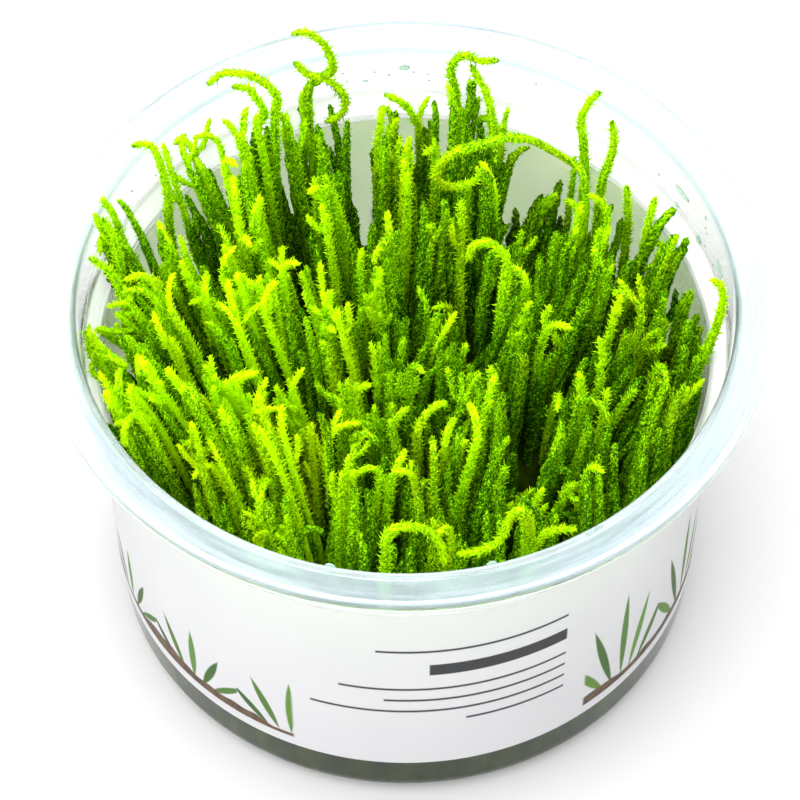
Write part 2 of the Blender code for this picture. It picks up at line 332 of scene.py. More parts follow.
# Drops inside the collar: degrees round from the right, height, width along the wall and up it
DROPS = (
    (90.1, 55.8, 1.55, 1.0), (97.4, 53.6, 0.85, 0.5), (100.9, 53.9, 0.4, 0.4), (95.7, 55.1, 0.55, 0.35),
    (93.0, 54.4, 0.55, 0.35), (88.4, 54.9, 0.55, 0.35), (85.8, 54.6, 0.4, 0.4), (85.5, 53.4, 0.4, 0.35),
    (82.4, 54.3, 0.55, 0.35), (65.1, 56.9, 0.45, 0.4), (101.6, 55.6, 0.5, 0.35), (28.8, 55.2, 3.6, 0.9),
    (11.3, 54.3, 3.2, 1.0), (20.4, 56.9, 0.5, 0.9), (19.8, 55.3, 0.4, 0.5), (19.1, 54.8, 0.4, 0.5),
    (29.9, 52.0, 1.1, 0.6), (21.3, 51.6, 1.4, 1.5), (18.9, 52.4, 0.5, 0.45), (14.3, 52.2, 0.6, 0.5),
    (12.8, 53.0, 0.6, 0.5), (150.0, 55.0, 0.5, 0.4), (143.0, 53.2, 0.4, 0.35), (47.0, 55.6, 0.5, 0.4),
    (36.0, 53.8, 0.4, 0.6), (3.5, 55.9, 0.5, 0.8), (304.0, 54.6, 2.6, 1.2), (257.4, 59.0, 1.5, 1.5),
    (284.2, 59.0, 1.5, 1.5))
DROP_BULGE = 0.32
DROP_BULGE_SHARE = 0.35
DROP_RINGS = 5
DROP_SIDES = 14


def arc(center_r, center_z, radius, start_deg, end_deg, steps):
    angles = [math.radians(start_deg + (end_deg - start_deg) * i / steps) for i in range(steps + 1)]
    return [(center_r + radius * math.cos(a), center_z + radius * math.sin(a)) for a in angles]


def toward(angle):
    """Level unit vector at an angle round from +X."""
    return np.array([math.cos(angle), math.sin(angle), 0.0])


def link(name, data):
    obj = bpy.data.objects.new(name, data)
    bpy.context.scene.collection.objects.link(obj)
    return obj


def array_mesh(name, co, face_arrays):
    """A mesh from an array of points and index arrays, one row a face."""
    mesh = bpy.data.meshes.new(name)
    mesh.vertices.add(len(co))
    mesh.vertices.foreach_set("co", np.asarray(co, np.float32).ravel())
    loops = np.concatenate([f.ravel() for f in face_arrays]).astype(np.int32)
    sizes = np.concatenate([np.full(len(f), f.shape[1]) for f in face_arrays])
    starts = np.concatenate([[0], np.cumsum(sizes)[:-1]]).astype(np.int32)
    mesh.loops.add(len(loops))
    mesh.loops.foreach_set("vertex_index", loops)
    mesh.polygons.add(len(sizes))
    mesh.polygons.foreach_set("loop_start", starts)
    mesh.update(calc_edges=True)
    mesh.validate()
    return mesh


def turned(name, profile, segments, closed):
    """Spin a profile of (r, z) points round Z. A profile that ends on the axis is closed there."""
    bm = bmesh.new()
    verts = [bm.verts.new((r, 0.0, z)) for r, z in profile]
    edges = [bm.edges.new(pair) for pair in zip(verts, verts[1:])]
    if closed:
        edges.append(bm.edges.new((verts[-1], verts[0])))
    bmesh.ops.spin(bm, geom=verts + edges, cent=(0, 0, 0), axis=(0, 0, 1), angle=2.0 * math.pi,
                   steps=segments, use_merge=True)
    bmesh.ops.remove_doubles(bm, verts=bm.verts, dist=WELD_WITHIN)
    bmesh.ops.recalc_face_normals(bm, faces=bm.faces)
    mesh = bpy.data.meshes.new(name)
    bm.to_mesh(mesh)
    bm.free()
    mesh.shade_smooth()
    mesh.set_sharp_from_angle(angle=SHARP_FROM)
    return link(name, mesh)


def tube_faces(rings, sides):
    """Quads between the rings of a tube, and the triangles that close its two ends."""
    k = np.arange(sides)
    after = (k + 1) % sides
    ring = np.arange(rings - 1)[:, None] * sides
    quads = np.stack([ring + k, ring + after, ring + sides + after, ring + sides + k], axis=-1)
    last = (rings - 1) * sides
    start_end = np.stack([np.full(sides, rings * sides), after, k], axis=1)
    far_end = np.stack([np.full(sides, rings * sides + 1), last + k, last + after], axis=1)
    return quads.reshape(-1, 4), np.concatenate([start_end, far_end])


def stand_for(piece, node):
    """Ride on the part and replace a solid."""
    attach(piece, "root")
    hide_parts(node)


# Span that most of a noise lies in, and a narrower one for more contrast
NOISE_SPAN = (0.3, 0.7)
CONTRAST_SPAN = (0.35, 0.65)


class Nodes:
    """Short calls for building the node tree of a material or of the world."""

    def __init__(self, owner):
        owner.use_nodes = True
        self.tree = owner.node_tree

    def add(self, kind, inputs=(), **settings):
        node = self.tree.nodes.new(kind)
        for key, value in settings.items():
            setattr(node, key, value)
        for key, value in dict(inputs).items():
            self.feed(node.inputs[key], value)
        return node

    def feed(self, socket, value):
        if isinstance(value, bpy.types.NodeSocket):
            self.tree.links.new(value, socket)
        elif hasattr(value, "__len__") and len(value) == 3 and socket.type == "RGBA":
            socket.default_value = (*value, 1.0)
        else:
            socket.default_value = value

    def math(self, operation, *values):
        return self.add("ShaderNodeMath", dict(enumerate(values)), operation=operation).outputs[0]

    def plus(self, a, b):
        return self.math("ADD", a, b)

    def minus(self, a, b):
        return self.math("SUBTRACT", a, b)

    def times(self, a, b):
        return self.math("MULTIPLY", a, b)

    def mix(self, factor, a, b, blend="MIX"):
        node = self.add("ShaderNodeMix", data_type="RGBA", blend_type=blend)
        for index, value in ((0, factor), (6, a), (7, b)):
            self.feed(node.inputs[index], value)
        return node.outputs[2]

    def noise(self, vector, scale, detail=2.0, roughness=0.5):
        inputs = {"Vector": vector, "Scale": scale, "Detail": detail, "Roughness": roughness}
        return self.add("ShaderNodeTexNoise", inputs).outputs["Fac"]

    def map(self, value, low, high, to_low=0.0, to_high=1.0):
        return self.add("ShaderNodeMapRange", {0: value, 1: low, 2: high, 3: to_low, 4: to_high}).outputs[0]

    def varied(self, vector, scale, low=0.0, high=1.0):
        """Noise spread over a range."""
        return self.map(self.noise(vector, scale), *NOISE_SPAN, low, high)

    def attribute(self, name):
        return self.add("ShaderNodeAttribute", attribute_name=name).outputs["Fac"]

    def position(self):
        return self.add("ShaderNodeTexCoord").outputs["Object"]

    def stretched(self, vector, scale):
        return self.add("ShaderNodeMapping", {"Vector": vector, "Scale": scale}).outputs[0]

    def around(self):
        """Angle from the front in radians, distance from the axis and height, in metres."""
        split = self.add("ShaderNodeSeparateXYZ", {0: self.position()}).outputs
        angle = self.math("ARCTAN2", split[0], self.times(split[1], -1.0))
        radius = self.math("SQRT", self.plus(self.times(split[0], split[0]), self.times(split[1], split[1])))
        return angle, radius, split[2]

    def ramp(self, factor, stops):
        node = self.add("ShaderNodeValToRGB", {"Fac": factor})
        elements = node.color_ramp.elements
        while len(elements) < len(stops):
            elements.new(0.5)
        for element, (place, color) in zip(elements, stops):
            element.position = place
            element.color = (*color, 1.0)
        return node.outputs["Color"]


class Finish(Nodes):
    """One material, on the Principled shader."""

    def __init__(self, name):
        self.material = bpy.data.materials.new(name)
        super().__init__(self.material)
        self.shader = self.tree.nodes["Principled BSDF"]

    def set(self, **values):
        for key, value in values.items():
            self.feed(self.shader.inputs[key.replace("_", " ")], value)

    def bump(self, height, strength, distance):
        node = self.add("ShaderNodeBump", {"Height": height, "Strength": strength, "Distance": distance})
        self.set(Normal=node.outputs[0])

    def let_through(self, color, share):
        """Pass a share of the light on through the surface, spread out."""
        through = self.add("ShaderNodeBsdfTranslucent", {"Color": color})
        both = self.add("ShaderNodeMixShader", {0: share, 1: self.shader.outputs[0], 2: through.outputs[0]})
        self.feed(self.tree.nodes["Material Output"].inputs["Surface"], both.outputs[0])


# Clear plastic, milky at the flange and frosted at the step
PLASTIC_CLEAR = (0.975, 0.985, 0.98)
PLASTIC_FLANGE = (0.63, 0.745, 0.80)
FLANGE_BEGINS = (57.6 * MM, 59.2 * MM)
FLANGE_MILK = (0.14, 0.28)
FLANGE_ROUGH = 0.12
STEP_MILK = (0.35, 0.50)
WALL_ROUGH = (0.02, 0.08)
STREAK_STRETCH = (2.5, 900.0, 700.0)


def clear_plastic():
    """Clear wall, with a milky, finely streaked flange and a frosted step under the collar."""
    n = Finish("clear_plastic")
    ways = n.around()
    height = ways[2]
    pulled = [n.times(way, factor) for way, factor in zip(ways, STREAK_STRETCH)]
    rings = n.add("ShaderNodeCombineXYZ", dict(enumerate(pulled))).outputs[0]
    streaks = n.noise(rings, scale=1.6, detail=3.0)
    flange = n.map(height, *FLANGE_BEGINS)
    step = n.map(n.math("ABSOLUTE", n.minus(height, STEP_MIDDLE)), *STEP_REACH, 1.0, 0.0)
    milk = n.plus(n.times(flange, n.map(streaks, *CONTRAST_SPAN, *FLANGE_MILK)),
                  n.times(step, n.map(streaks, *CONTRAST_SPAN, *STEP_MILK)))
    rough = n.plus(n.times(flange, FLANGE_ROUGH), n.map(streaks, *NOISE_SPAN, *WALL_ROUGH))
    n.set(Base_Color=n.mix(flange, PLASTIC_CLEAR, PLASTIC_FLANGE), IOR=1.38,
          Transmission_Weight=n.minus(1.0, milk), Roughness=rough)
    n.bump(n.times(n.minus(streaks, 0.5), flange), strength=0.15, distance=0.0003)
    return n.material


# Label: its film, and its print in millimetres
PAPER_TONES = ((0.83, 0.805, 0.87), (0.85, 0.825, 0.89))
INK = (0.040, 0.042, 0.048)
INK_SOFT = 0.10
RULES = ((-4.0, 22.0, 38.0, 0.5), (3.0, 22.0, 33.4, 2.6), (-9.0, 22.0, 28.6, 0.5), (-3.0, 22.0, 25.8, 0.5),
         (-13.0, 22.0, 23.0, 0.5), (8.0, 22.0, 20.2, 0.5))
PRINT_WINDOW = (5.0, 20.5)
WINDOW_SOFT = 0.4
BLADE_TONES = ((0.030, 0.110, 0.012), (0.150, 0.330, 0.030))
TUFTS_ROUND = 16
TUFT_PITCH = 2.0 * math.pi * LABEL_R_MM / TUFTS_ROUND
TUFT_GROWTH = (0.75, 1.45)
TUFT_BLADES = ((-3.2, 128.0, 9.0), (-1.6, 108.0, 13.0), (0.2, 90.0, 15.0), (1.8, 74.0, 12.0),
               (3.4, 52.0, 9.5))
BLADE_WIDTH = 1.3
BLADE_TONE_STEP = 0.37
SOIL_TONES = ((0.090, 0.050, 0.025), (0.210, 0.130, 0.070))
SOIL_FOOT = 11.2
SOIL_LEVEL = 12.0
SOIL_TOP = (12.0, 14.5)


class Print:
    """Flat shapes in millimetres on the label: u round from the front, v up."""

    def __init__(self, nodes):
        self.n = nodes
        angle, _, height = nodes.around()
        self.u = nodes.times(angle, LABEL_R_MM)
        self.v = nodes.times(height, 1.0 / MM)

    def edge(self, distance):
        """1 where the distance is negative, with an edge as soft as ink."""
        return self.n.map(distance, -INK_SOFT, INK_SOFT, 1.0, 0.0)

    def beyond(self, value, center, half):
        """How far a value lies outside a band, negative within it."""
        return self.n.minus(self.n.math("ABSOLUTE", self.n.minus(value, center)), half)

    def bar(self, u0, u1, v, thick):
        du = self.beyond(self.u, (u0 + u1) / 2, (u1 - u0) / 2)
        dv = self.beyond(self.v, v, thick / 2)
        return self.edge(self.n.math("MAXIMUM", du, dv))

    def blade(self, foot, angle_deg, length):
        """A pointed blade from its foot at (foot, 0)."""
        n = self.n
        turn = math.radians(angle_deg)
        du, dv = n.minus(self.u, foot), self.v
        along = n.plus(n.times(du, math.cos(turn)), n.times(dv, math.sin(turn)))
        across = n.minus(n.times(dv, math.cos(turn)), n.times(du, math.sin(turn)))
        share = n.math("DIVIDE", along, length)
        half = n.times(n.times(share, n.minus(1.0, share)), 2.0 * BLADE_WIDTH)
        return self.edge(n.minus(n.math("ABSOLUTE", across), half))


def with_tufts(color, pen, beside):
    """Plain grass tufts round the foot of the label, each with its own height and greens."""
    n = pen.n
    cell = n.math("FLOOR", n.math("DIVIDE", n.plus(pen.u, TUFT_PITCH / 2), TUFT_PITCH))
    chance = n.add("ShaderNodeTexWhiteNoise", {"W": cell}, noise_dimensions="1D").outputs["Value"]
    whole_round, height = pen.u, pen.v
    pen.u = n.math("WRAP", pen.u, TUFT_PITCH / 2, -TUFT_PITCH / 2)
    pen.v = n.math("DIVIDE", n.minus(pen.v, SOIL_LEVEL), n.map(chance, 0.0, 1.0, *TUFT_GROWTH))
    for index, blade in enumerate(TUFT_BLADES):
        tone = n.math("FRACT", n.plus(chance, index * BLADE_TONE_STEP))
        shape = n.times(pen.blade(*blade), beside)
        color = n.mix(shape, color, n.mix(tone, *BLADE_TONES))
    pen.u, pen.v = whole_round, height
    return color


def with_soil(color, pen, beside):
    """A strip of soil with an uneven top, which the tufts stand in."""
    n = pen.n
    where = n.position()
    below_top = pen.edge(n.minus(pen.v, n.varied(where, 90.0, *SOIL_TOP)))
    above_foot = n.minus(1.0, pen.edge(n.minus(pen.v, SOIL_FOOT)))
    grain = n.map(n.noise(where, scale=900.0), *CONTRAST_SPAN)
    shape = n.times(n.times(below_top, above_foot), beside)
    return n.mix(shape, color, n.mix(grain, *SOIL_TONES))


def label_film():
    """White film with a few rules and a frieze of grass tufts on soil; nothing to read."""
    n = Finish("label_film")
    where = n.position()
    pen = Print(n)
    ink = pen.bar(*RULES[0])
    for rule in RULES[1:]:
        ink = n.math("MAXIMUM", ink, pen.bar(*rule))
    color = n.mix(ink, n.mix(n.varied(where, scale=60.0), *PAPER_TONES), INK)
    beside = n.map(pen.beyond(pen.u, *PRINT_WINDOW), 0.0, WINDOW_SOFT)
    color = with_soil(with_tufts(color, pen, beside), pen, beside)
    n.set(Base_Color=color, Roughness=n.varied(where, 900.0, 0.30, 0.42))
    n.bump(n.noise(where, scale=1500.0), strength=0.05, distance=0.0001)
    n.let_through(color, share=0.50)
    return n.material


# Back of the film: pale, with a painted green reflection of the moss
BACK_TONES_WITH_PAINTED_REFLECTION = ((0.78, 0.97, 0.58), (0.85, 0.98, 0.66))


def film_back():
    """Bare back of the film, painted green with a reflection of the moss it faces."""
    n = Finish("film_back")
    tone = n.varied(n.position(), scale=120.0)
    color = n.mix(tone, *BACK_TONES_WITH_PAINTED_REFLECTION)
    n.set(Base_Color=color, Roughness=n.map(tone, 0.0, 1.0, 0.45, 0.60))
    n.let_through(color, share=0.70)
    return n.material


# Condensation: pale, with a painted green reflection of the moss
WATER_TONES_WITH_PAINTED_REFLECTION = ((0.50, 0.72, 0.58), (0.58, 0.78, 0.66))


def water():
    """Condensation, with a painted green reflection of the moss."""
    n = Finish("water")
    ripple = n.noise(n.position(), scale=700.0)
    n.set(Base_Color=n.mix(ripple, *WATER_TONES_WITH_PAINTED_REFLECTION), IOR=1.333, Transmission_Weight=0.7,
          Roughness=n.map(ripple, *NOISE_SPAN, 0.0, 0.03))
    return n.material


# Moss. The leaf's grain: scale, detail, span of the noise and what it adds to the tone
MOSS_SPECULAR = 0.02
MOSS_ROUGH = (0.55, 0.8)
LEAF_GRAIN = ((140.0, 2.0, NOISE_SPAN, (-0.06, 0.06)), (1500.0, 2.0, NOISE_SPAN, (-0.12, 0.12)),
              (4200.0, 1.0, (0.50, 0.64), (-0.10, 0.38)))
CREST_GAIN = 0.42
LEAF_TONES = ((0.0, (0.009, 0.045, 0.001)), (0.25, (0.034, 0.145, 0.001)), (0.50, (0.150, 0.410, 0.001)),
              (0.75, (0.370, 0.740, 0.001)), (1.0, (0.520, 0.920, 0.001)))
OLD_STRETCH = (110.0, 110.0, 30.0)
OLD_SPAN = (0.50, 0.66)
OLD_SHARE = (0.0, 0.75)
OLD_TINT = (1.0, 0.76, 1.0)
FELT_STRETCH = (420.0, 420.0, 150.0)
FELT_TONES = ((0.35, (0.008, 0.018, 0.0)), (0.50, (0.015, 0.032, 0.0)), (0.68, (0.034, 0.062, 0.0)))


def moss_leaf():
    """Mottled leaf: dark green with bright specks, yellow-green where the tone is high, which is near the
    tips, in painted sunlight and on painted highlights of the crests; painted shade darkens it deeper down.
    """
    n = Finish("moss_leaf")
    where = n.position()
    # The crest attribute paints highlights on crests and leaf points and shade in the grooves
    crest = n.times(n.minus(n.attribute("crest"), 0.5), CREST_GAIN)
    level = n.plus(n.attribute("tone"), crest)
    for scale, detail, span, added in LEAF_GRAIN:
        level = n.plus(level, n.map(n.noise(where, scale, detail), *span, *added))
    color = n.ramp(level, LEAF_TONES)
    old = n.map(n.noise(n.stretched(where, OLD_STRETCH), scale=1.0), *OLD_SPAN, *OLD_SHARE)
    color = n.mix(old, color, n.mix(1.0, color, OLD_TINT, "MULTIPLY"))
    n.set(Base_Color=color, Roughness=n.varied(where, 1800.0, *MOSS_ROUGH), Specular_IOR_Level=MOSS_SPECULAR)
    n.bump(n.noise(where, scale=4200.0), strength=0.35, distance=0.0002)
    return n.material


def wet_felt():
    """Dark olive felt of old stems."""
    n = Finish("wet_felt")
    strands = n.noise(n.stretched(n.position(), FELT_STRETCH), scale=1.0, detail=4.0, roughness=0.6)
    n.set(Base_Color=n.ramp(strands, FELT_TONES), Roughness=n.map(strands, *NOISE_SPAN, *MOSS_ROUGH),
          Specular_IOR_Level=MOSS_SPECULAR)
    n.bump(strands, strength=0.5, distance=0.0004)
    return n.material


FLOOR_HALF = 2.0
FLOOR_TONES = ((0.465, 0.465, 0.465), (0.485, 0.485, 0.485))


def white_floor():
    n = Finish("white_floor")
    shade = n.varied(n.position(), scale=6.0)
    n.set(Base_Color=n.mix(shade, *FLOOR_TONES), Roughness=n.map(shade, 0.0, 1.0, 0.75, 0.85),
          Specular_IOR_Level=0.1)
    return n.material


def shifted(r, z, shifts):
    """Points that lie (out, up) by so many millimetres from a place in the profile."""
    return [(r + out * MM, z + up * MM) for out, up in shifts]


def cup_profile():
    """Outer side from the base's centre up, then the inner side back down, rounded at every step."""
    under_z = CUP_HEIGHT - FLANGE_THICKNESS
    drop_z = under_z - FLANGE_RIM_DROP
    rim_in = FLANGE_R - FLANGE_RIM_WIDTH
    inner_top_r = COLLAR_TOP_R - CUP_WALL
    corner_r = BASE_CORNER_R - CUP_WALL
    corner_center_r = BODY_BOTTOM_R - BASE_CORNER_R
    points = [(0.0, 0.0)]
    points += arc(corner_center_r, BASE_CORNER_R, BASE_CORNER_R, -90, 0, 8)
    points += [(BODY_TOP_R, BODY_TOP_Z)]
    points += shifted(COLLAR_BOTTOM_R, COLLAR_BOTTOM_Z, OUTER_STEP_FOOT)
    points += arc(COLLAR_BOTTOM_R - STEP_ROUND_R, COLLAR_BOTTOM_Z - STEP_ROUND_DROP, STEP_ROUND_R, -60, 0, 3)
    points += arc(COLLAR_TOP_R + FLANGE_FILLET_R, under_z - FLANGE_FILLET_R, FLANGE_FILLET_R, 180, 90, 3)
    points += [(rim_in, under_z)]
    points += shifted(rim_in, drop_z, RIM_INNER_FOOT)
    points += shifted(FLANGE_R, drop_z, RIM_OUTER_FOOT)
    points += arc(FLANGE_R - FLANGE_EDGE_R, CUP_HEIGHT - FLANGE_EDGE_R, FLANGE_EDGE_R, 0, 90, 5)
    points += arc(inner_top_r + FLANGE_LIP_R, CUP_HEIGHT - FLANGE_LIP_R, FLANGE_LIP_R, 90, 180, 7)
    points += shifted(COLLAR_BOTTOM_R - CUP_WALL, COLLAR_BOTTOM_Z + STEP_RAISE, INNER_STEP)
    points += shifted(BODY_TOP_R - CUP_WALL, BODY_TOP_Z + STEP_RAISE, INNER_STEP_FOOT)
    points += arc(corner_center_r, BASE_THICKNESS + corner_r, corner_r, 0, -90, 7)
    points += [(0.0, BASE_THICKNESS)]
    return points


def body_radius(z):
    share = (z - BASE_CORNER_R) / (BODY_TOP_Z - BASE_CORNER_R)
    return BODY_BOTTOM_R + (BODY_TOP_R - BODY_BOTTOM_R) * share


def build_cup():
    cup = turned("clear_cup", cup_profile(), CUP_SEGMENTS, closed=False)
    cup.data.materials.append(clear_plastic())
    stand_for(cup, "cup")


def drop_points(degrees, z, width, height):
    """One flat round drop on the collar's inside, in millimetres: its rings, then its two poles."""
    polar = np.linspace(-math.pi / 2, math.pi / 2, DROP_RINGS + 2)[1:-1, None]
    around = np.arange(DROP_SIDES) * 2 * math.pi / DROP_SIDES
    out = toward(math.radians(degrees))
    along = np.array([-out[1], out[0], 0.0])
    up = np.array([0.0, 0.0, 1.0])
    rise = (z * MM - COLLAR_BOTTOM_Z) / (CUP_HEIGHT - COLLAR_BOTTOM_Z)
    wall_r = (COLLAR_BOTTOM_R + (COLLAR_TOP_R - COLLAR_BOTTOM_R) * rise - CUP_WALL) / MM
    bulge = min(DROP_BULGE, DROP_BULGE_SHARE * min(width, height))
    flat = (along * width * np.cos(around)[:, None] + up * height * np.sin(around)[:, None]) / 2.0
    body = np.cos(polar)[..., None] * flat[None, :, :] - np.sin(polar)[..., None] * out * bulge
    poles = np.array([out * bulge, -out * bulge])
    return out * wall_r + up * z + np.vstack([body.reshape(-1, 3), poles])


def build_drops():
    """Flat round drops that hang on the inside of the collar."""
    points = np.concatenate([drop_points(*drop) for drop in DROPS])
    first = np.arange(len(DROPS))[:, None, None] * (DROP_RINGS * DROP_SIDES + 2)
    quads, tris = tube_faces(DROP_RINGS, DROP_SIDES)
    outward = (quads[:, [0, 3, 2, 1]], tris[:, [0, 2, 1]])
    faces = [(first + part).reshape(-1, part.shape[1]) for part in outward]
    mesh = array_mesh("condensation_drops", points * MM, faces)
    mesh.shade_smooth()
    drops = link("condensation_drops", mesh)
    drops.data.materials.append(water())
    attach(drops, "root")


def build_label():
    low = body_radius(LABEL_BOTTOM_Z) + LABEL_GAP
    high = body_radius(LABEL_TOP_Z) + LABEL_GAP
    profile = [(low, LABEL_BOTTOM_Z), (low + LABEL_THICKNESS, LABEL_BOTTOM_Z),
               (high + LABEL_THICKNESS, LABEL_TOP_Z), (high, LABEL_TOP_Z)]
    label = turned("label_band", profile, CUP_SEGMENTS, closed=True)
    label.data.materials.append(label_film())
    label.data.materials.append(film_back())
    for face in label.data.polygons:
        face.material_index = int(face.normal.dot(face.center) < 0.0)
    stand_for(label, "label")


def build_felt():
    """The dense foot of the cushion, in wet contact with the wall."""
    floor_z = BASE_THICKNESS - MAT_PRESS
    side_r = BODY_BOTTOM_R - CUP_WALL + MAT_PRESS
    corner_r = BASE_CORNER_R - CUP_WALL
    profile = [(0.0, floor_z)]
    profile += arc(side_r - corner_r, floor_z + corner_r, corner_r, -90, 0, 6)
    for row in range(1, MAT_ROWS + 1):
        z = MAT_FOOT_Z + (MAT_SIDE_TOP_Z - MAT_FOOT_Z) * row / MAT_ROWS
        profile.append((body_radius(z) - CUP_WALL + MAT_PRESS, z))
    for share in MAT_RINGS:
        profile.append((side_r * share, MAT_SHOULDER_Z + MAT_CROWN * (1.0 - share ** MAT_FLATNESS)))
    felt = turned("moss_felt", profile, MAT_SEGMENTS, closed=False)
    for vert in felt.data.vertices:
        if vert.co.z > MAT_LUMPY_FROM_Z:
            vert.co.z += MAT_LUMP * noise.noise(vert.co / MAT_LUMP_SIZE)
    felt.data.materials.append(wet_felt())
    stand_for(felt, "moss")


def tip_height(x, y):
    hollow = math.exp(-((x - HOLLOW_X) ** 2 + (y - HOLLOW_Y) ** 2) / HOLLOW_R ** 2)
    return (TIP_Z - TIP_RISE_LEFT * x / LOCK_FIELD_R + TIP_RISE_BACK * y / LOCK_FIELD_R
            - HOLLOW_DEPTH * hollow)


def lock_layout():
    """Root, lean, hook and tip height of every lock, drawn in the same order as in the solid."""
    rng = random.Random(LOCK_SEED)
    locks = []
    for index in range(LOCKS):
        angle = index * GOLDEN_ANGLE
        root_r = LOCK_FIELD_R * math.sqrt((index + 0.5) / LOCKS)
        root = root_r * toward(angle) + (0.0, 0.0, FROND_ROOT_Z)
        root += np.array([rng.uniform(-1, 1), rng.uniform(-1, 1), 0.0]) * LOCK_JITTER
        lean = toward(angle) * (LOCK_REACH_R - LOCK_FIELD_R) * root_r / LOCK_FIELD_R
        lean += np.array([rng.uniform(-1, 1), rng.uniform(-1, 1), 0.0]) * LOCK_SWAY
        hook = toward(rng.uniform(0, 2.0 * math.pi)) * LOCK_HOOK * rng.random()
        top_z = tip_height(root[0], root[1]) + rng.uniform(-1, 1) * TIP_Z_SPREAD
        locks.append((root, lean, hook, top_z))
    return locks


def turn_about(vector, axis, angle):
    return (vector * math.cos(angle) + np.cross(axis, vector) * math.sin(angle)
            + axis * axis.dot(vector) * (1.0 - math.cos(angle)))


def grow(start, heading, azimuth, turns, step):
    """Points that go on from start and turn towards an azimuth, by one angle after another."""
    axis = np.cross(heading, toward(azimuth))
    axis /= np.linalg.norm(axis)
    points, point = [], start
    for turn in turns:
        heading = turn_about(heading, axis, math.radians(turn))
        point = point + heading * step
        points.append(point)
    return points


def keep_inside(points):
    """Pull points off the wall, whose radius grows at the collar."""
    points = np.array(points, float)
    spread = np.hypot(points[:, 0], points[:, 1])
    rise = np.clip((points[:, 2] - REACH_GROWS_FROM_Z) / REACH_GROWS_OVER, 0.0, 1.0)
    limit = WALL_REACH + (COLLAR_REACH - WALL_REACH) * rise
    points[:, :2] *= np.minimum(1.0, limit / np.maximum(spread, 1e-6))[:, None]
    return points


def tip_turns(rng, playful):
    """How a frond ends, as turns in degrees: hooked, in a zigzag, bent or nearly straight."""
    style = rng.random() / playful
    if style < HOOKED_BELOW:
        return [*HOOK_TURNS, rng.uniform(10, 38)][:int(rng.integers(4, 7))]
    if style < ZIGZAG_BELOW:
        return [rng.uniform(25, 40), -rng.uniform(40, 65), rng.uniform(35, 60), -rng.uniform(10, 40), 20]
    if style < BENT_BELOW:
        return [5, 12, rng.uniform(18, 35), rng.uniform(15, 35)]
    return list(rng.uniform(-8, 10, 3))


def frond_route(lock, place, own_top, rng, playful, step):
    """Centre line of one frond of a lock; place runs from 0 in its middle to 1 at its edge."""
    root, lean, hook, _ = lock
    offset = toward(rng.uniform(0, 2 * np.pi)) * LOCK_SPREAD_R * math.sqrt(place)
    start = root * (ROOT_INWARD, ROOT_INWARD, 1.0) + offset
    leaning = (RIGHT_LEAN if root[0] > 0.0 else LEFT_LEAN, BACK_LEAN if root[1] > 0.0 else FRONT_LEAN, 0.0)
    lean = lean + root * LEAN_OUT * leaning
    turns = tip_turns(rng, playful)
    stem_top = own_top - TIP_RISE * step * len(turns)
    sway_angle = rng.uniform(0, 2 * np.pi)
    sway = toward(sway_angle) * rng.uniform(*SWAY)
    points = []
    for share in STEM_SHARES:
        point = start + lean * share ** LEAN_POWER + hook * HOOK_SHARE * share ** HOOK_POWER
        point = point - offset * GATHER * share
        point = point + sway * math.sin(SWAY_HALF_WAVES * math.pi * share + sway_angle)
        point[:2] += rng.uniform(-WOBBLE, WOBBLE, 2) * share
        point[2] = FROND_ROOT_Z + (stem_top - FROND_ROOT_Z) * share
        points.append(point)
    heading = points[-1] - points[-2]
    heading = heading / np.linalg.norm(heading)
    points += grow(points[-1], heading, rng.uniform(0, 2 * np.pi), turns, step)
    return keep_inside(points)


def resample(points):
    """Points along a smooth curve (Catmull-Rom) through the given ones, and how far along each one is."""
    points = np.asarray(points, float)
    ends = np.vstack([2 * points[0] - points[1], points, 2 * points[-1] - points[-2]])
    t = np.linspace(0, 1, CURVE_STEPS, endpoint=False)[:, None]
    dense = []
    for p0, p1, p2, p3 in zip(ends, ends[1:], ends[2:], ends[3:]):
        dense.append(0.5 * (2 * p1 + (p2 - p0) * t + (2 * p0 - 5 * p1 + 4 * p2 - p3) * t ** 2
                            + (3 * p1 - p0 - 3 * p2 + p3) * t ** 3))
    dense = np.vstack(dense + [points[-1:]])
    run = np.concatenate([[0], np.cumsum(np.linalg.norm(np.diff(dense, axis=0), axis=1))])
    return dense, run


def points_at(at, run, line):
    """Points of a line at given distances; run says how far along its own points are."""
    return np.stack([np.interp(at, run, line[:, k]) for k in range(3)], axis=-1)


def frames_along(path):
    """Tangent and two cross directions at every point, without sudden twist."""
    tangents = np.gradient(path, axis=0)
    tangents /= np.linalg.norm(tangents, axis=1, keepdims=True)
    sides = np.zeros_like(path)
    side = np.array(FIRST_SIDE)
    for i, tangent in enumerate(tangents):
        side = side - tangent * side.dot(tangent)
        side /= np.linalg.norm(side)
        sides[i] = side
    return tangents, sides, np.cross(tangents, sides)


class Tuft:
    """Gathers fronds as arrays, to be joined in one mesh."""

    def __init__(self):
        self.co, self.quads, self.tris, self.tone, self.crest = [], [], [], [], []
        self.count = 0

    def add(self, co, tone, crest, tris, quads=None):
        if quads is not None:
            self.quads.append(quads + self.count)
        self.tris.append(tris + self.count)
        self.co.append(co)
        self.tone.append(tone)
        self.crest.append(crest)
        self.count += len(co)

    def build(self, name):
        faces = [np.concatenate(self.quads), np.concatenate(self.tris)]
        mesh = array_mesh(name, np.concatenate(self.co) * MM, faces)
        for key, values in (("tone", self.tone), ("crest", self.crest)):
            layer = mesh.attributes.new(key, "FLOAT", "POINT")
            layer.data.foreach_set("value", np.concatenate(values).astype(np.float32))
        return link(name, mesh)


def ring_places(route, kind):
    """Distances of a stem's rings from its foot and from its tip, and their centres."""
    dense, run = resample(route)
    length = run[-1]
    near = np.arange(0, min(kind.zone, length), kind.pitch)
    far = np.arange(near[-1] + kind.coarse, length, kind.coarse)
    back = np.concatenate([near, far])[::-1]
    place = length - back
    return place, back, points_at(place, run, dense)


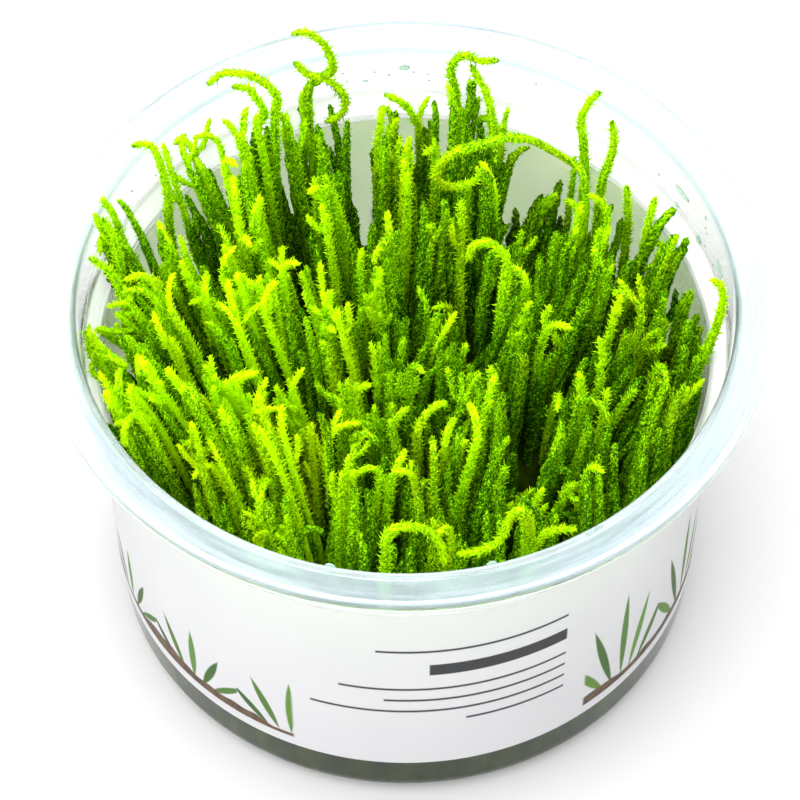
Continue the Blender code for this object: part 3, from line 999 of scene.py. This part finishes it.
def add_stem(tuft, route, rng, kind, tone, size=1.0):
    """A closed stem covered in scales. tone gives the brightness for distances from the tip."""
    place, back, path = ring_places(route, kind)
    tangents, across, other = frames_along(path)
    rings, sides = len(path), kind.sides
    radius = kind.tip_r + (kind.root_r - kind.tip_r) * np.clip(back / kind.taper, 0, 1) ** TAPER_POWER
    radius = size * radius * np.clip(TIP_BLUNT + back / (TIP_ROUND * kind.tip_r), 0.0, 1.0)
    k = np.arange(sides)[None, :]
    row = np.arange(rings)[:, None]
    angle = 2 * np.pi * (k + 0.5 * (row % 2)) / sides
    crest = ((k + row) % 2).astype(float)
    lift = rng.uniform(*SCALE_LIFT, crest.shape) * kind.lift
    rise = np.where(crest > 0, lift, -SCALE_SINK * radius[:, None])
    rise *= np.clip(TIP_BLUNT + back[:, None] / SCALE_FADE, 0.0, 1.0)
    out = np.cos(angle)[..., None] * across[:, None, :] + np.sin(angle)[..., None] * other[:, None, :]
    co = path[:, None, :] + out * (radius[:, None] + rise)[..., None]
    co += tangents[:, None, :] * (crest * rng.uniform(*SCALE_SLIDE, crest.shape))[..., None]
    co = np.vstack([co.reshape(-1, 3), path[0], path[-1] + tangents[-1] * TIP_POINT * kind.tip_r])
    line = tone(back)
    # Painted highlight on the crests and painted shade in the grooves, kept as the crest attribute
    bright, dull = (rng.uniform(*shine, crest.shape) for shine in (SCALE_SHINE, GROOVE_SHINE))
    shine = np.concatenate([np.where(crest > 0, bright, dull).ravel(), END_SHINE])
    quads, tris = tube_faces(rings, sides)
    tuft.add(co, np.concatenate([np.repeat(line, sides), line[[0, -1]]]), shine, tris, quads)
    return place, path, tangents, across, other, radius, line


def add_leaves(tuft, stem, rng, kind):
    """Thin free leaves round the upper part of a stem, pointing up and out."""
    place, path, tangents, across, other, radius, line = stem
    zone = min(kind.leaf_zone, LEAFY_SHARE * place[-1])
    leaves = int(zone * kind.leaves_per_mm)
    at = place[-1] - zone * (np.arange(leaves) + rng.random(leaves)) / leaves
    center = points_at(at, place, path)
    index = np.clip(np.searchsorted(place, at), 0, len(place) - 1)
    turn = np.arange(leaves) * GOLDEN_ANGLE + rng.uniform(-LEAF_TURN, LEAF_TURN, leaves)
    out = np.cos(turn)[:, None] * across[index] + np.sin(turn)[:, None] * other[index]
    along = tangents[index]
    width = np.cross(along, out) * kind.leaf_half
    direction = out + along * rng.uniform(*LEAF_SLANT, leaves)[:, None]
    direction /= np.linalg.norm(direction, axis=1, keepdims=True)
    size = kind.leaf * rng.uniform(*LEAF_SIZE, leaves)[:, None]
    size *= np.clip(LEAF_SMALLEST + (place[-1] - at)[:, None] / LEAF_GROWS_OVER, LEAF_SMALLEST, 1.0)
    base = center + out * (radius[index] * LEAF_SEAT)[:, None]
    foot = along * kind.leaf_half
    corners = np.stack([base - width - foot, base + width - foot, base + foot * LEAF_HEEL,
                        base + direction * size], axis=1)
    tris = (np.arange(leaves)[:, None, None] * 4 + np.array(LEAF_FACES)[None, :, :]).reshape(-1, 3)
    tone = np.repeat(np.interp(at, place, line), 4)
    tuft.add(corners.reshape(-1, 3), tone, np.tile(LEAF_SHINE, leaves), tris)


def add_frond(tuft, route, rng, kind, tone, size=1.0):
    add_leaves(tuft, add_stem(tuft, route, rng, kind, tone, size), rng, kind)


def tone_line(bright, shade_fall, dark_tip, sunk=0.0):
    """Painted shade: brightness falls with depth under the canopy, fading down, with a dark very tip if
    asked.
    """
    def tone(back):
        line = bright * (1.0 - shade_fall * np.clip((back + sunk) / FADE_DEPTH, 0, 1) ** FADE_POWER)
        return line * (1.0 - dark_tip * np.clip(1.0 - back / DARK_TIP_RUN, 0, 1))
    return tone


def add_shoots(tuft, route, rng, tone):
    """One or two short side shoots in the upper part of a frond."""
    dense, run = resample(route)
    for _ in range(int(rng.integers(*SHOOT_COUNT))):
        at = run[-1] - rng.uniform(*SHOOT_FROM_TIP)
        if at < SHOOT_LOWEST:
            continue
        spot, ahead = points_at(np.array([at, at + 1.0]), run, dense)
        heading = (ahead - spot) / np.linalg.norm(ahead - spot)
        azimuth = rng.uniform(0, 2 * np.pi)
        turns = [rng.uniform(*SHOOT_BEND), *SHOOT_TURNS][:int(rng.integers(*SHOOT_LENGTH))]
        shoot = keep_inside([spot] + grow(spot, heading, azimuth, turns, rng.uniform(*VARIATION)))
        add_frond(tuft, shoot, rng, SHOOT, tone)


def sector_of(point):
    return int((math.atan2(point[1], point[0]) / (2 * math.pi) % 1.0) * MOSS_SECTORS)


def dark_spot(root):
    """How near a lock is to the dark dip in front of the middle."""
    away = math.hypot(root[0] - DARK_SPOT[0], root[1] - DARK_SPOT[1]) / DARK_SPOT_R
    return math.exp(-away ** 2)


def lock_top(lock):
    """Height of a lock's fine fronds. Low locks and front ones stay lower, and show those behind them."""
    root, top_z = lock[0], lock[3]
    mean = tip_height(root[0], root[1])
    front = float(np.clip((FRONT_EDGE_Y - root[1]) / FRONT_FADE, 0.0, 1.0))
    back = float(np.clip(root[1] / BACK_FADE, 0.0, 1.0))
    dip = DARK_SPOT_DEPTH * dark_spot(root) + LOW_LOCK_GAIN * max(mean - top_z, 0.0)
    return top_z + TOP_LIFT + BACK_LIFT * back - dip - FRONT_DROP * front


def in_wall_gap(route):
    """Whether a frond would hide the bare spot of the back wall, from the front and above."""
    x, y, z = route.T
    spot_x, spot_y = WALL_GAP_SPOT
    sight = (z - WALL_GAP_SIGHT_Z) > SIGHT_DROP * (spot_y - y)
    hides = (np.abs(x - spot_x) < WALL_GAP_HALF) & (y > WALL_GAP_FRONT_Y) & sight
    return bool(hides.any()) or math.hypot(x[0] - spot_x, y[0] - spot_y) < WALL_GAP_R


def sun_share(root):
    """How much a lock belongs to the brightest ones, left of the middle, where sunlight is painted into their
    tone.
    """
    spread = sum(((root[k] - SUN_SPOT[k]) / SUN_SPREAD[k]) ** 2 for k in range(2))
    return SUN_LEAST + (1.0 - SUN_LEAST) * math.exp(-spread)


def lock_plan(rng, sunny):
    """Kind, lift over the lock's top and brightness of every fine frond of one lock; the brightness carries
    painted sunlight.
    """
    slender = SLENDER_PER_LOCK + round(SLENDER_IN_SUN * sunny)
    plan = []
    for kind, count, (highest, reach, power), (shaded, gain, spread) in (
            (ROPE, ROPES_PER_LOCK, ROPE_LIFT, ROPE_TONE), (SLENDER, slender, SLENDER_LIFT, SLENDER_TONE)):
        plan += [(kind, highest - reach * rng.random() ** power, rng.normal(shaded + gain * sunny, spread))
                 for _ in range(count)]
    return plan + [(CURTAIN, rng.uniform(*CURTAIN_LIFT), rng.uniform(*CURTAIN_TONE) + CURTAIN_SUN * sunny)
                   for _ in range(CURTAIN_PER_LOCK)]


def fill_lock(tuft, lock, rng):
    """All fine fronds of one lock: ropes, slender bright ones in painted sunlight, and dark ones deep between
    them, darkened with painted shade.
    """
    top = lock_top(lock)
    # Painted light: a lock in the sunlit patch gets brighter fronds, and one in the dark dip gets painted
    # shade
    sunny = sun_share(lock[0])
    shade = 1.0 - DARK_SPOT_SHADE * dark_spot(lock[0])
    plan = lock_plan(rng, sunny)
    for index, (kind, lift, bright) in enumerate(plan):
        step = rng.uniform(*VARIATION) * (SLENDER_STEP_GAIN if kind is SLENDER else 1.0)
        place = (index * PLACE_STRIDE % len(plan) + 0.5) / len(plan)
        route = frond_route(lock, place, top + lift, rng, PLAYFUL[kind], step)
        if in_wall_gap(route):
            continue
        dark_tip = 0.4 if kind is ROPE and rng.random() > sunny else 0.0
        # Painted shade down the frond, which painted sunlight lessens on slender fronds
        shade_fall = rng.uniform(*SHADE_FALL) * (1.0 - SUN_SAVES * sunny * (kind is SLENDER))
        tone = tone_line(float(np.clip(bright, *TONE_LIMITS)) * shade, shade_fall, dark_tip, max(-lift, 0.0))
        add_frond(tuft, route, rng, kind, tone, rng.uniform(*VARIATION))
        if kind is SLENDER and rng.random() < SHOOT_SHARE:
            add_shoots(tuft, route, rng, tone)


def add_fringe(tufts):
    """Dull upright fronds that close the cushion against the wall, highest at the front right."""
    rng = np.random.default_rng(FRINGE_SEED)
    for count, degrees, tops, kind, bright in FRINGE:
        for _ in range(count):
            turn = math.radians(rng.uniform(*degrees))
            root = FRINGE_R * toward(turn) + (0.0, 0.0, FROND_ROOT_Z)
            lock = (root, np.zeros(3), np.zeros(3), 0.0)
            route = frond_route(lock, place=0.08, own_top=rng.uniform(*tops), rng=rng, playful=0.3, step=1.0)
            if not in_wall_gap(route):
                tone = tone_line(rng.normal(bright, scale=0.06), shade_fall=0.45, dark_tip=0.0)
                add_frond(tufts[sector_of(root)], route, rng, kind, tone)


def add_curls(tufts, rng):
    """The curled single fronds of the photo."""
    for route in CURLS.values():
        at_back = route[0][1] > 0
        tone = tone_line(rng.uniform(*CURL_TONE), shade_fall=0.4, dark_tip=0.5 if at_back else 0.0)
        add_frond(tufts[sector_of(route[0])], np.array(route, float), rng, CURL, tone)


def build_fronds():
    rng = np.random.default_rng(FROND_SEED)
    tufts = [Tuft() for _ in range(MOSS_SECTORS)]
    for lock in lock_layout():
        fill_lock(tufts[sector_of(lock[0])], lock, rng)
    add_fringe(tufts)
    add_curls(tufts, rng)
    material = moss_leaf()
    for index, tuft in enumerate(tufts):
        piece = tuft.build(f"moss_fronds_{index + 1}")
        piece.data.materials.append(material)
        stand_for(piece, "moss")


def build_stage():
    corners = FLOOR_HALF * np.array([[-1, -1, 0], [1, -1, 0], [1, 1, 0], [-1, 1, 0]])
    floor = link("floor", array_mesh("floor", corners, [np.array([[0, 1, 2, 3]])]))
    floor.data.materials.append(white_floor())


def build_light():
    """A white dome that is brightest overhead, to the front left, and glows behind the cup."""
    world = bpy.data.worlds.new("studio")
    bpy.context.scene.world = world
    n = Nodes(world)
    sight = n.add("ShaderNodeTexCoord").outputs["Generated"]
    total = DOME_LIGHT
    for direction, angles, light in LIGHT_PATCHES:
        facing = n.add("ShaderNodeVectorMath", {0: sight, 1: Vector(direction).normalized()},
                       operation="DOT_PRODUCT").outputs["Value"]
        edge, core = (math.cos(math.radians(angle)) for angle in angles)
        patch = n.add("ShaderNodeMapRange", {0: facing, 1: edge, 2: core, 3: 0.0, 4: light},
                      interpolation_type="SMOOTHSTEP")
        total = n.plus(total, patch.outputs[0])
    background = n.tree.nodes["Background"]
    n.feed(background.inputs["Color"], (1.0, 1.0, 1.0))
    n.feed(background.inputs["Strength"], total)


def build_camera():
    lens = bpy.data.cameras.new("camera")
    lens.lens = LENS_MM
    lens.sensor_width = SENSOR_MM
    camera = link("camera", lens)
    camera.matrix_world = (Matrix.Translation(CAMERA_PLACE) @ Matrix.Rotation(-CAMERA_YAW, 4, "Z")
                           @ Matrix.Rotation(math.pi / 2 - CAMERA_PITCH, 4, "X")
                           @ Matrix.Rotation(-CAMERA_ROLL, 4, "Z"))
    bpy.context.scene.camera = camera


bpy.context.scene.view_settings.view_transform = "Standard"
build_cup()
build_drops()
build_label()
build_felt()
build_fronds()
build_stage()
build_light()
build_camera()
